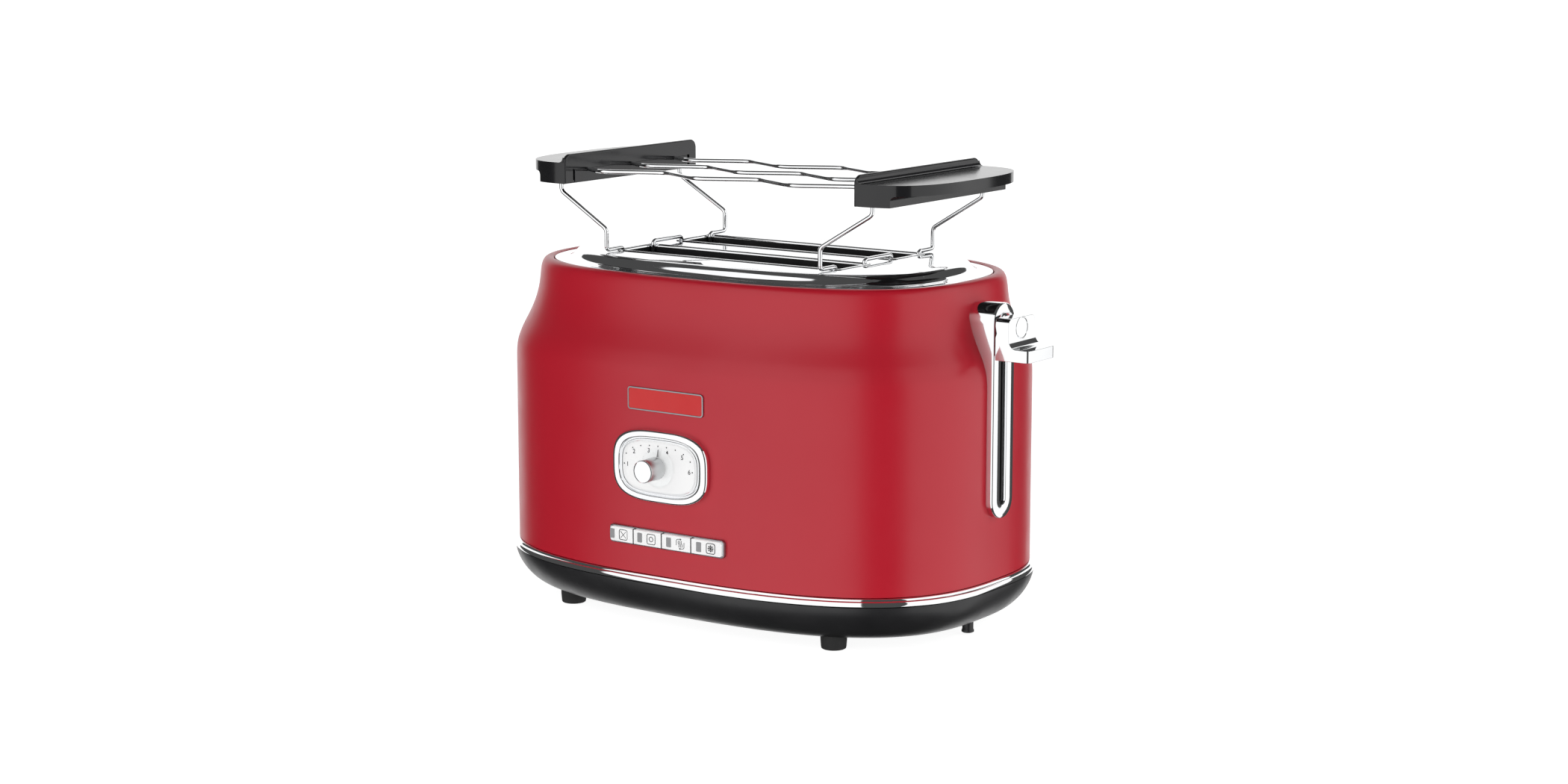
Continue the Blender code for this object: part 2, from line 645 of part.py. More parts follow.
def build_supports():
    for label, middle in (("front", -SUPPORT_Y), ("middle", 0.0), ("rear", SUPPORT_Y)):
        end = PLATE_X - 0.8     # the runs meet the plate at a slant
        run = 2 * end / SUPPORT_RUNS
        corners = [(-end, middle, SUPPORT_Z)]
        for index in range(SUPPORT_RUNS):
            swing = -SUPPORT_SWING if index % 2 == 0 else SUPPORT_SWING
            corners.append((-end + run * (index + 0.5), middle + swing, SUPPORT_Z))
        corners.append((end, middle, SUPPORT_Z))
        wire("rack_wire_" + label, rounded_path(corners, 7.0), WIRE_RADIUS, CHROME)


def build_rack():
    for label, side in (("left", -1), ("right", 1)):
        build_handle(label, side)
        build_leg(label, side)
    build_supports()


clear_scene()
AXIS = add_axis()
build_shell()
build_deck()
build_base()
build_band()
build_feet()
build_dial()
build_buttons()
build_badge()
build_lever()
build_carriage()
build_chassis()
build_guards()
build_crumb_tray()
build_rack()
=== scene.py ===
"""Looks of the two-slice pop-up toaster: finished surfaces, materials, light and camera.

Lengths are millimetres in the toaster's own axes, with X towards the lever, -Y towards the
dial and Z up, measured from the middle of the housing on the surface that it stands on.
"""
import math

import bmesh
import bpy
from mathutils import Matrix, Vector


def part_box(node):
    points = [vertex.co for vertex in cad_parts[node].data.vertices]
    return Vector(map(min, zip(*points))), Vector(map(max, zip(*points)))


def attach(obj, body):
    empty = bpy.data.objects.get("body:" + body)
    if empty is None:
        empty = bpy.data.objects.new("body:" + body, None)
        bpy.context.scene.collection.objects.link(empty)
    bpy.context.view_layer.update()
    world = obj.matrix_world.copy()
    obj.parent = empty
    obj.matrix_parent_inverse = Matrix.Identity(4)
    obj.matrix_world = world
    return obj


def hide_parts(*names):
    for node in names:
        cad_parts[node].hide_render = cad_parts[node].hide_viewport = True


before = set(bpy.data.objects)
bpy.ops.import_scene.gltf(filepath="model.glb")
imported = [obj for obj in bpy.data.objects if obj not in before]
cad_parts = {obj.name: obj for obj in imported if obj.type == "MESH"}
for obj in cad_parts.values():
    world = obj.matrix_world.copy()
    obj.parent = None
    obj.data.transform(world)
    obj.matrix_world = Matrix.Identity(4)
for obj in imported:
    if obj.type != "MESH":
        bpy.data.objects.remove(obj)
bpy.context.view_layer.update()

MM = 0.001
SHELL_LOW, SHELL_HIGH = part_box("outer_shell")
MIDDLE = Vector(((SHELL_LOW.x + SHELL_HIGH.x) / 2, (SHELL_LOW.y + SHELL_HIGH.y) / 2, 0.0))


def cad_box(node):
    """Lowest and highest corner of a CAD node, in millimetres in the toaster's axes."""
    low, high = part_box(node)
    return (low - MIDDLE) / MM, (high - MIDDLE) / MM


# Plan outline of the housing: |x / a| ** n + |y / b| ** n = 1
PLAN_POWER = 2.75
PLAN_POINTS = 200
BODY_A = (SHELL_HIGH.x - SHELL_LOW.x) / 2 / MM
BODY_B = (SHELL_HIGH.y - SHELL_LOW.y) / 2 / MM
SHELL_BOTTOM = SHELL_LOW.z / MM
SHELL_WALL = 1.6
# inset from the body outline and height: shoulder, neck and rim, from below
SHELL_OUTSIDE = ((0.0, 132.0), (0.1, 137.0), (0.6, 142.0), (1.7, 146.0), (3.2, 150.0), (5.1, 154.0),
                 (7.0, 158.0), (8.7, 162.0), (10.1, 166.0), (11.2, 170.0), (12.0, 174.0), (12.5, 178.0),
                 (12.8, 181.0), (13.2, 183.8), (13.9, 186.2), (15.0, 187.9), (16.4, 188.7), (17.6, 188.8),
                 (18.7, 188.6), (19.4, 188.1), (19.7, 187.2))
SHELL_INSIDE = ((18.6, 186.8), (17.4, 187.4), (15.9, 186.4), (14.4, 181.8), (13.6, 173.6), (11.6, 165.4),
                (8.6, 157.4), (4.8, 149.4), (2.2, 141.6), (SHELL_WALL, 133.6), (SHELL_WALL, SHELL_BOTTOM))
# half length, half width and height of the deck, from its edge inside the rim to its flat top
DECK_TOP = cad_box("top_deck")[1].z
DECK_PROFILE = ((125.3, 77.0, 187.2), (125.2, 76.95, 188.0), (124.8, 76.7, 188.35), (122.0, 74.5, 188.4),
                (119.6, 72.2, 188.42), (118.0, 70.6, 188.55), (116.6, 69.4, 189.1), (115.2, 68.6, 190.0),
                (114.0, 68.1, 191.2), (112.9, 67.6, 192.4), (111.6, 66.8, 193.4), (110.0, 65.8, 194.0),
                (108.0, 64.5, DECK_TOP))
SLOT_HALF_LENGTH = 72.0
SLOT_INNER = 11.4
SLOT_OUTER = 41.2
SLOT_MID = (SLOT_INNER + SLOT_OUTER) / 2

# Warming rack
WIRE_RADIUS = 1.2
RACK_CLEARANCE = 0.3

# Front controls
BUTTON_LABELS = ("cancel", "one_side", "reheat", "defrost")
SIGN_HALF = 2.7
# how far each digit from 1 to 6 sits sideways from its place inside its dot
DIGIT_SPREAD = (0.2, -1.2, -1.2, 1.2, 1.2, 0.0)

# Camera: direction seen from the object, distance and lens, and the point it looks at
CAMERA_AZIMUTH = 35.309
CAMERA_ELEVATION = 9.927
CAMERA_DISTANCE = 1630.56
CAMERA_TARGET = (9.27, 0.0, 117.97)
CAMERA_LENS = 68.61
CAMERA_SENSOR = 36.0

# Light: start and end of each soft box round the toaster, in degrees from -Y towards +X
SOFT_BOXES = ((-45.5, 30.5), (67.0, 151.0), (182.0, 256.0))
SOFT_BOX_LOW = -45.0
SOFT_BOX_HIGH = 42.0
SOFT_BOX_STRENGTH = 1.15
ROOM_STRENGTH = 0.07

# Painted light that the white controls give off themselves, and the light that the floor gives off
WHITE_GLOW = 0.36
FLOOR_GLOW = 0.92

# Edges sharper than this, in degrees, stay sharp on a lofted piece, on a cut one and on the shell.
# Where a piece has rounded edges, the ones over LOFT_SHARP are rounded.
LOFT_SHARP = 35.0
CUT_SHARP = 30.0
SHELL_SHARP = 28.0


# ---------------------------------------------------------------- geometry helpers

def superellipse(half_x, half_y, power=PLAN_POWER, count=PLAN_POINTS):
    outline = []
    for step in range(count):
        angle = 2 * math.pi * step / count
        across = math.cos(angle)
        along = math.sin(angle)
        outline.append((half_x * math.copysign(abs(across) ** (2 / power), across),
                        half_y * math.copysign(abs(along) ** (2 / power), along)))
    return outline


def circle(radius, count=64):
    steps = [2 * math.pi * step / count for step in range(count)]
    return [(radius * math.cos(angle), radius * math.sin(angle)) for angle in steps]


def rounded_rectangle(half_x, half_y, radius, steps=8):
    outline = []
    for quarter, (side_x, side_y) in enumerate(((1, 1), (-1, 1), (-1, -1), (1, -1))):
        for step in range(steps + 1):
            angle = math.pi / 2 * (quarter + step / steps)
            outline.append((side_x * (half_x - radius) + radius * math.cos(angle),
                            side_y * (half_y - radius) + radius * math.sin(angle)))
    return outline


def moved(outline, shift_x, shift_y):
    return [(x + shift_x, y + shift_y) for x, y in outline]


def on_plane(outline, axis, where):
    if axis == "x":
        return [(where, first, second) for first, second in outline]
    if axis == "y":
        return [(first, where, second) for first, second in outline]
    return [(first, second, where) for first, second in outline]


def loft(rings, closed=False):
    """Skin rings of equal length. A closed loft joins the last ring to the first."""
    count = len(rings[0])
    points = [point for ring in rings for point in ring]
    faces = []
    for row in range(len(rings) if closed else len(rings) - 1):
        low = row * count
        high = ((row + 1) % len(rings)) * count
        for column in range(count):
            after = (column + 1) % count
            faces.append((low + column, low + after, high + after, high + column))
    if not closed:
        faces.append(tuple(reversed(range(count))))
        faces.append(tuple(range(len(points) - count, len(points))))
    return points, faces


def merged(*shapes):
    """Several (points, faces) shapes as one."""
    points, faces = [], []
    for more_points, more_faces in shapes:
        start = len(points)
        points += list(more_points)
        faces += [tuple(index + start for index in face) for face in more_faces]
    return points, faces


def prism(outline, axis, start, end):
    return loft([on_plane(outline, axis, start), on_plane(outline, axis, end)])


def box(low, high):
    ring = ((low[0], low[1]), (high[0], low[1]), (high[0], high[1]), (low[0], high[1]))
    return prism(ring, "z", low[2], high[2])


def smooth_curve(points, steps):
    """Points on a Catmull-Rom curve through the given points."""
    points = [Vector(point) for point in points]
    padded = [2 * points[0] - points[1]] + points + [2 * points[-1] - points[-2]]
    curve = []
    for a, b, c, d in zip(padded, padded[1:], padded[2:], padded[3:]):
        for step in range(steps):
            t = step / steps
            curve.append(0.5 * (2 * b + (c - a) * t + (2 * a - 5 * b + 4 * c - d) * t ** 2
                                + (3 * b - a - 3 * c + d) * t ** 3))
    curve.append(points[-1])
    return curve


def rounded_path(corners, radius, steps=8):
    """Points along straight runs, with each corner rounded by a short curve."""
    path = [Vector(corners[0])]
    for before, corner, after in zip(corners, corners[1:], corners[2:]):
        corner = Vector(corner)
        back = Vector(before) - corner
        ahead = Vector(after) - corner
        reach = min(radius, back.length / 2.01, ahead.length / 2.01)
        entry = corner + back.normalized() * reach
        leave = corner + ahead.normalized() * reach
        for step in range(steps + 1):
            t = step / steps
            path.append(entry * (1 - t) ** 2 + corner * 2 * t * (1 - t) + leave * t ** 2)
    path.append(Vector(corners[-1]))
    return path


def shade(mesh, sharp_angle):
    mesh.shade_smooth()
    mesh.set_sharp_from_angle(angle=math.radians(sharp_angle))


def make_mesh(name, shape):
    """A mesh in world metres from (points, faces) in the toaster's millimetres."""
    points, faces = shape
    mesh = bpy.data.meshes.new(name)
    mesh.from_pydata([MIDDLE + Vector(point) * MM for point in points], [], faces)
    work = bmesh.new()
    work.from_mesh(mesh)
    bmesh.ops.recalc_face_normals(work, faces=work.faces)
    work.to_mesh(mesh)
    work.free()
    shade(mesh, LOFT_SHARP)
    return mesh


def link(name, data):
    piece = bpy.data.objects.new(name, data)
    bpy.context.scene.collection.objects.link(piece)
    return piece


def boolean(mesh_object, shape, operation):
    """Apply a Boolean with a temporary solid, and give the object its new mesh."""
    tool = link("tool", make_mesh("tool", shape))
    modifier = mesh_object.modifiers.new("boolean", "BOOLEAN")
    modifier.operation = operation
    modifier.solver = "EXACT"
    modifier.object = tool
    view = bpy.context.evaluated_depsgraph_get()
    result = bpy.data.meshes.new_from_object(mesh_object.evaluated_get(view))
    mesh_object.modifiers.clear()
    mesh_object.data = result
    bpy.data.objects.remove(tool)


def finish_piece(piece, finish, body, replaces=(), bevel=0.0, segments=3):
    """Give a piece its material, its rounded edges and the body it rides on."""
    material, slot = finish
    piece.data.materials.clear()
    piece.data.materials.append(material)
    if bevel:
        modifier = piece.modifiers.new("rounded_edges", "BEVEL")
        modifier.width = bevel * MM
        modifier.segments = segments
        modifier.limit_method = "ANGLE"
        modifier.angle_limit = math.radians(LOFT_SHARP)
        modifier.use_clamp_overlap = True
        weighted = piece.modifiers.new("flat_faces_stay_flat", "WEIGHTED_NORMAL")
        weighted.keep_sharp = True
    if replaces:
        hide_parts(*replaces)
    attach(piece, body)
    return piece


def add(name, shape, finish, body, replaces=(), bevel=0.0, segments=3):
    piece = link(name, make_mesh(name, shape))
    return finish_piece(piece, finish, body, replaces, bevel, segments)


def add_wires(name, paths, radius, finish, body, replaces=(), sides=4, closed=False):
    """Round wires along lists of points, as one curve object."""
    curve = bpy.data.curves.new(name, "CURVE")
    curve.dimensions = "3D"
    curve.bevel_depth = radius * MM
    curve.bevel_resolution = sides
    curve.use_fill_caps = True
    for path in paths:
        spline = curve.splines.new("POLY")
        spline.points.add(len(path) - 1)
        spline.use_cyclic_u = closed
        spline.use_smooth = True
        for slot, point in zip(spline.points, path):
            slot.co = (*(MIDDLE + Vector(point) * MM), 1.0)
    return finish_piece(link(name, curve), finish, body, replaces)


# ---------------------------------------------------------------- materials

def new_material(name, colour, metallic, roughness):
    material = bpy.data.materials.new(name)
    material.use_nodes = True
    shader = material.node_tree.nodes["Principled BSDF"]
    shader.inputs["Base Color"].default_value = (*colour, 1.0)
    shader.inputs["Metallic"].default_value = metallic
    shader.inputs["Roughness"].default_value = roughness
    return material, shader


def noise_node(material, scale, detail=3.0, stretch=(1.0, 1.0, 1.0)):
    """Noise fixed to the object, with the given number of cells per metre along each axis."""
    nodes = material.node_tree.nodes
    links = material.node_tree.links
    place = nodes.new("ShaderNodeTexCoord")
    mapping = nodes.new("ShaderNodeMapping")
    mapping.inputs["Scale"].default_value = stretch
    noise = nodes.new("ShaderNodeTexNoise")
    noise.inputs["Scale"].default_value = scale
    noise.inputs["Detail"].default_value = detail
    links.new(place.outputs["Object"], mapping.inputs["Vector"])
    links.new(mapping.outputs["Vector"], noise.inputs["Vector"])
    return noise


def vary_roughness(material, shader, noise, low, high):
    spread = material.node_tree.nodes.new("ShaderNodeMapRange")
    spread.inputs["From Min"].default_value = 0.3
    spread.inputs["From Max"].default_value = 0.7
    spread.inputs["To Min"].default_value = low
    spread.inputs["To Max"].default_value = high
    material.node_tree.links.new(noise.outputs["Fac"], spread.inputs["Value"])
    material.node_tree.links.new(spread.outputs["Result"], shader.inputs["Roughness"])


def vary_colour(material, shader, noise, dark, light):
    ramp = material.node_tree.nodes.new("ShaderNodeValToRGB")
    ramp.color_ramp.elements[0].position = 0.3
    ramp.color_ramp.elements[0].color = (*dark, 1.0)
    ramp.color_ramp.elements[1].position = 0.7
    ramp.color_ramp.elements[1].color = (*light, 1.0)
    material.node_tree.links.new(noise.outputs["Fac"], ramp.inputs["Fac"])
    material.node_tree.links.new(ramp.outputs["Color"], shader.inputs["Base Color"])


def add_bump(material, shader, noise, distance, strength=1.0):
    bump = material.node_tree.nodes.new("ShaderNodeBump")
    bump.inputs["Distance"].default_value = distance * MM
    bump.inputs["Strength"].default_value = strength
    material.node_tree.links.new(noise.outputs["Fac"], bump.inputs["Height"])
    material.node_tree.links.new(bump.outputs["Normal"], shader.inputs["Normal"])


def red_enamel():
    """Satin enamel on steel: a faint orange-peel bump, slight drift of colour and gloss."""
    material, shader = new_material("red_enamel", (0.45, 0.008, 0.02), 0.0, 0.4)
    vary_colour(material, shader, noise_node(material, 9.0, 2.0), (0.70, 0.010, 0.031), (0.73, 0.012, 0.034))
    vary_roughness(material, shader, noise_node(material, 60.0), 0.30, 0.35)
    add_bump(material, shader, noise_node(material, 900.0, 2.0), 0.006, 0.5)
    shader.inputs["Specular IOR Level"].default_value = 0.55
    return material


def bright_chrome():
    material, shader = new_material("bright_chrome", (0.86, 0.87, 0.88), 1.0, 0.05)
    vary_roughness(material, shader, noise_node(material, 45.0), 0.03, 0.07)
    vary_colour(material, shader, noise_node(material, 14.0, 2.0), (0.84, 0.85, 0.865), (0.90, 0.905, 0.91))
    return material


def plastic(name, dark, light, rough_low, rough_high, grain, depth):
    """Moulded plastic with a fine surface grain."""
    material, shader = new_material(name, light, 0.0, rough_high)
    vary_colour(material, shader, noise_node(material, 40.0), dark, light)
    vary_roughness(material, shader, noise_node(material, 90.0), rough_low, rough_high)
    add_bump(material, shader, noise_node(material, grain, 2.0), depth, 0.6)
    return material


def glowing_white(name, glow):
    """Glossy white plastic with painted light: it gives off a little light, because plain white renders too
    dark.
    """
    material = plastic(name, (0.86, 0.86, 0.86), (0.90, 0.90, 0.90), 0.16, 0.24, 400.0, 0.003)
    shader = material.node_tree.nodes["Principled BSDF"]
    shader.inputs["Emission Color"].default_value = (1.0, 1.0, 1.0, 1.0)
    shader.inputs["Emission Strength"].default_value = glow
    return material


def sheet_steel(name, dark, light, rough_low, rough_high, stretch):
    """Steel with a drawn grain along one axis."""
    material, shader = new_material(name, light, 1.0, rough_high)
    vary_colour(material, shader, noise_node(material, 30.0), dark, light)
    vary_roughness(material, shader, noise_node(material, 220.0, 3.0, stretch), rough_low, rough_high)
    add_bump(material, shader, noise_node(material, 500.0, 2.0, stretch), 0.01, 0.4)
    return material


def clear_plastic():
    material, shader = new_material("clear_skirt", (0.97, 0.98, 0.98), 0.0, 0.05)
    shader.inputs["Transmission Weight"].default_value = 1.0
    shader.inputs["IOR"].default_value = 1.16
    vary_roughness(material, shader, noise_node(material, 200.0), 0.02, 0.06)
    return material


def make_finishes():
    """Each finish is a material and the record's material slot that it belongs to."""
    black = (0.018, 0.018, 0.020)
    return {
        "red": (red_enamel(), "red_enamel"),
        "chrome": (bright_chrome(), "bright_chrome"),
        # the button caps and the dial face glow a little: painted light
        "button": (glowing_white("button_silver", WHITE_GLOW), "button_silver"),
        "base": (plastic("black_base", black, (0.026, 0.026, 0.028), 0.30, 0.38, 700.0, 0.010), "black_base"),
        "handle": (plastic("black_handle", black, (0.022, 0.022, 0.024), 0.13, 0.155, 500.0, 0.003),
                   "black_handle"),
        "rubber": (plastic("black_rubber", (0.02, 0.02, 0.02), (0.035, 0.035, 0.035), 0.7, 0.85, 900.0, 0.02),
                   "black_rubber"),
        "dial": (glowing_white("white_dial", WHITE_GLOW), "white_dial"),
        "ink": (plastic("printed_ink", (0.06, 0.06, 0.065), (0.09, 0.09, 0.095), 0.45, 0.55, 900.0, 0.003),
                "white_dial"),
        "lens": (plastic("lamp_lens", (0.40, 0.40, 0.41), (0.46, 0.46, 0.47), 0.10, 0.18, 400.0, 0.003),
                 "button_silver"),
        "badge": (plastic("badge_red", (0.90, 0.040, 0.042), (0.94, 0.046, 0.048), 0.5, 0.6, 400.0, 0.003),
                  "red_enamel"),
        "silver": (sheet_steel("badge_silver", (0.36, 0.37, 0.39), (0.42, 0.43, 0.45), 0.30, 0.38,
                               (1.0, 1.0, 1.0)), "bright_chrome"),
        "satin": (sheet_steel("satin_chrome", (0.60, 0.605, 0.61), (0.70, 0.705, 0.71), 0.30, 0.36,
                              (1.0, 0.1, 1.0)), "bright_chrome"),
        "clear": (clear_plastic(), "clear_skirt"),
        "steel": (sheet_steel("plain_steel", (0.42, 0.42, 0.43), (0.55, 0.55, 0.56), 0.28, 0.42,
                              (0.1, 0.1, 1.0)), "plain_steel"),
        # Painted shade: the steel parts inside the housing and the slots are darkened to stand for the shade
        # down in the slots
        "inner_dark": (sheet_steel("dark_inner_steel", (0.09, 0.09, 0.092), (0.15, 0.15, 0.15), 0.38, 0.52,
                             (0.1, 0.1, 1.0)), "plain_steel"),
        "dark": (sheet_steel("dark_slot_steel", (0.038, 0.038, 0.039), (0.065, 0.065, 0.066), 0.42, 0.55,
                             (0.1, 0.1, 1.0)), "plain_steel"),
        "board": (plastic("green_board", (0.02, 0.12, 0.05), (0.04, 0.19, 0.08), 0.4, 0.5, 600.0, 0.01),
                  "green_board"),
        "coil": (sheet_steel("copper_coil", (0.45, 0.20, 0.09), (0.62, 0.30, 0.15), 0.25, 0.4,
                             (0.05, 0.05, 1.0)), "copper_coil"),
        "mica": (plastic("mica_board", (0.50, 0.42, 0.30), (0.68, 0.60, 0.47), 0.35, 0.55, 250.0, 0.05),
                 "mica_board"),
    }


# ---------------------------------------------------------------- housing

def body_ring(inset, height):
    return on_plane(superellipse(BODY_A - inset, BODY_B - inset), "z", height)


def stadium(half_width, low, high):
    return moved(rounded_rectangle(half_width, (high - low) / 2, half_width, 16), 0.0, (high + low) / 2)


def build_shell():
    trim_low, trim_high = cad_box("lever_trim")
    straight = [(0.0, SHELL_BOTTOM), (0.0, SHELL_BOTTOM + 40.0), (0.0, SHELL_BOTTOM + 75.0)]
    curved = [tuple(point) for point in smooth_curve([(x, z, 0.0) for x, z in SHELL_OUTSIDE], 3)]
    profile = straight + [(inset, height) for inset, height, _ in curved] + list(SHELL_INSIDE)
    rings = [body_ring(inset, height) for inset, height in profile]
    shell = link("shell_enamel", make_mesh("shell_enamel", loft(rings, closed=True)))
    window = stadium(trim_high.y - 0.3, trim_low.z + 0.3, trim_high.z - 0.3)
    boolean(shell, prism(window, "x", 120.0, 160.0), "DIFFERENCE")
    shade(shell.data, SHELL_SHARP)
    finish_piece(shell, FINISH["red"], "housing", ["outer_shell"])


def deck_ring(half_x, half_y, height):
    return on_plane(superellipse(half_x, half_y), "z", height)


def slot_outline(side, grow):
    half_width = (SLOT_OUTER - SLOT_INNER) / 2
    outline = rounded_rectangle(SLOT_HALF_LENGTH + grow, half_width + grow, 2.2 + grow, 6)
    return moved(outline, 0.0, side * SLOT_MID)


def build_deck():
    top = [deck_ring(*point) for point in smooth_curve(DECK_PROFILE, 3)]
    under = [deck_ring(a - 0.8, b - 0.8, z - 1.2) for a, b, z in reversed(DECK_PROFILE)]
    deck = link("deck_plate", make_mesh("deck_plate", loft(under + top)))
    for side in (-1, 1):
        boolean(deck, prism(slot_outline(side, 0.2), "z", 180.0, 200.0), "DIFFERENCE")
    shade(deck.data, CUT_SHARP)
    finish_piece(deck, FINISH["chrome"], "housing", ["top_deck"])
    # the rolled lip round each slot: distance out from the slot's edge, and height
    lip = ((2.2, 0.0), (1.9, 0.35), (1.4, 0.55), (0.8, 0.55), (0.2, 0.3), (-0.15, -0.2), (-0.3, -0.8),
           (0.2, -1.0), (0.8, -0.6), (2.0, -0.6))
    # the wall down into each slot, in darkened steel as painted shade: distance out from the slot's edge, and
    # height
    wall = ((-0.2, -0.9), (-0.25, -14.0), (0.15, -14.0), (0.15, -0.9))
    for label, side in (("front", -1), ("rear", 1)):
        rings = [on_plane(slot_outline(side, out), "z", DECK_TOP + up) for out, up in lip]
        add("slot_lip_" + label, loft(rings, closed=True), FINISH["chrome"], "housing")
        rings = [on_plane(slot_outline(side, out), "z", DECK_TOP + up) for out, up in wall]
        add("slot_wall_" + label, loft(rings, closed=True), FINISH["dark"], "housing")


def build_base():
    low, high = cad_box("base_tray")
    half_x, half_y = high.x, high.y
    draw_in = 15.4
    roundness = 2 / 1.614
    steps = 22

    def ring(turn, wall):
        inset = draw_in * (1 - max(math.cos(turn), 0.0) ** roundness) + wall
        height = high.z - (high.z - low.z) * math.sin(turn) ** roundness
        return on_plane(superellipse(half_x - inset, half_y - inset), "z", max(height, low.z + wall))

    turns = [math.pi / 2 * step / steps for step in range(steps + 1)]
    rings = [ring(turn, 0.0) for turn in reversed(turns)] + [ring(turn, 2.5) for turn in turns[:-3:3]]
    base = link("base_bowl", make_mesh("base_bowl", loft(rings)))
    tray_low, tray_high = cad_box("crumb_tray")
    opening = box((tray_low.x + 1.5, 60.0, tray_low.z + 0.2), (tray_high.x - 1.5, 110.0, tray_high.z - 0.2))
    boolean(base, opening, "DIFFERENCE")
    bushing_low, bushing_high = cad_box("cord_bushing")
    centre = (bushing_low + bushing_high) / 2
    boolean(base, prism(moved(circle(5.0), centre.x, centre.z), "y", 68.0, 95.0), "DIFFERENCE")
    vents = []
    for row in (-1, 1):
        for index in range(-6, 7):
            outline = moved(rounded_rectangle(1.4, 11.0, 1.4, 4), index * 9.0, row * 34.0)
            vents.append(prism(outline, "z", low.z - 2.0, low.z + 5.0))
    boolean(base, merged(*vents), "DIFFERENCE")
    shade(base.data, CUT_SHARP)
    finish_piece(base, FINISH["base"], "housing", ["base_tray"])


def build_band():
    low, high = cad_box("base_band")
    profile = ((-0.9, low.z), (-0.2, low.z + 0.3), (0.0, low.z + 0.9), (0.0, low.z + 2.0),
               (-0.25, low.z + 2.7), (-0.9, low.z + 3.0), (-1.15, low.z + 3.2), (-1.2, high.z - 0.7),
               (-1.5, high.z - 0.2), (-2.1, high.z), (-5.4, high.z), (-5.4, low.z))
    rings = [on_plane(superellipse(high.x + out, high.y + out), "z", height) for out, height in profile]
    add("band_ring", loft(rings, closed=True), FINISH["chrome"], "housing", ["base_band"])


def turned(profile, axis, centre, count=48):
    """A solid of revolution through (radius, place on the axis)."""
    rings = [on_plane(moved(circle(radius, count), *centre), axis, where) for radius, where in profile]
    return loft(rings)


def build_feet():
    for label in ("front_left", "front_right", "rear_left", "rear_right"):
        low, high = cad_box("foot_" + label)
        centre = ((low.x + high.x) / 2, (low.y + high.y) / 2)
        profile = ((6.0, 0.0), (6.5, 0.3), (6.7, 1.2), (7.0, 5.0), (7.0, high.z + 0.3))
        foot = turned(profile, "z", centre)
        add("rubber_foot_" + label, foot, FINISH["rubber"], "housing", ["foot_" + label])
        screw = ((0.1, 0.9), (1.8, 0.9), (2.0, 0.5), (2.0, 0.35))
        add("foot_screw_" + label, turned(screw, "z", centre, 24), FINISH["steel"], "housing")
    for label in ("left", "right"):
        low, high = cad_box("cord_post_" + label)
        centre = ((low.x + high.x) / 2, 0.0)
        profile = ((2.6, low.z), (3.3, low.z + 0.4), (3.4, low.z + 1.2), (3.0, low.z + 2.0),
                   (3.0, high.z + 0.3))
        post = turned(profile, "z", centre)
        add("wrap_post_" + label, post, FINISH["base"], "housing", ["cord_post_" + label])


# ---------------------------------------------------------------- front controls

def face_drop(x):
    """How far the front face has turned back from its middle at x."""
    return BODY_B * (1 - (1 - abs(x / BODY_A) ** PLAN_POWER) ** (1 / PLAN_POWER))


def on_face(shape):
    """Bend a flat front trim so that it follows the housing's front."""
    points, faces = shape
    return [(x, y + face_drop(x), z) for x, y, z in points], faces


def dial_ring(half_x, half_z, depth, centre_z):
    return on_plane(moved(superellipse(half_x, half_z, 3.2, 128), 0.0, centre_z), "y", depth)


def build_dial():
    low, high = cad_box("dial_bezel")
    middle = (low.z + high.z) / 2
    a, b = high.x, (high.z - low.z) / 2
    back = high.y + 1.0
    front = low.y
    # inset from the outside, and depth: flank, flat front, and the small steps inside it
    profile = ((0.0, back), (0.0, front + 1.7), (0.2, front + 1.1), (0.55, front + 0.6), (1.0, front + 0.25),
               (1.5, front + 0.06), (2.0, front), (4.0, front), (4.45, front + 0.12), (4.8, front + 0.45),
               (5.0, front + 1.2), (5.2, front + 1.5), (5.6, front + 1.5), (5.8, front + 1.0),
               (6.2, front + 0.62), (6.6, front + 0.6), (6.95, front + 0.9), (7.2, front + 1.6), (7.4, back))
    upright_share = 0.8
    rings = [dial_ring(a - inset, b - inset * upright_share, depth, middle) for inset, depth in profile]
    add("bezel_chrome", loft(rings, closed=True), FINISH["chrome"], "housing", ["dial_bezel"])
    bezel_width = 7.45
    face_a, face_b = a - bezel_width, b - bezel_width * upright_share
    dome = ((1.0, 0.9), (0.995, 0.35), (0.97, 0.12), (0.9, 0.02), (0.75, -0.03), (0.5, -0.05), (0.3, -0.06))
    rings = [dial_ring(face_a * share, face_b * share, front + depth, middle) for share, depth in dome]
    rings = [dial_ring(face_a, face_b, back, middle)] + rings
    add("dial_plate", loft(rings), FINISH["dial"], "housing", ["dial_face"])
    build_dial_marks(face_a - 1.2, face_b - 2.0, middle, front - 0.06)
    build_knob()


def build_dial_marks(half_x, half_z, middle, depth):
    """Eleven dots at equal steps along the upper edge of the dial, with 1 to 6 inside every other one."""
    fine = [point for point in superellipse(half_x, half_z, 2.6, 720) if point[1] >= 0.0]
    lengths = [0.0]
    for before, after in zip(fine, fine[1:]):
        lengths.append(lengths[-1] + math.dist(before, after))
    dots = []
    for index in range(11):
        goal = lengths[-1] * (1 - index / 10)
        nearest = min(range(len(fine)), key=lambda place: abs(lengths[place] - goal))
        x, z = fine[nearest]
        dots.append(prism(moved(circle(0.36, 20), x, middle + z), "y", depth - 0.03, depth + 0.2))
        if index % 2 == 0:
            inward = Vector((-x, -z * 1.6)).normalized() * (2.0 if abs(x) > half_x * 0.95 else 2.7)
            spread = DIGIT_SPREAD[index // 2]
            digit_z = middle + z + inward.y - 0.2
            add_digit(str(index // 2 + 1), x + inward.x + spread, digit_z, depth - 0.03)
    add("dial_dots", merged(*dots), FINISH["ink"], "housing")


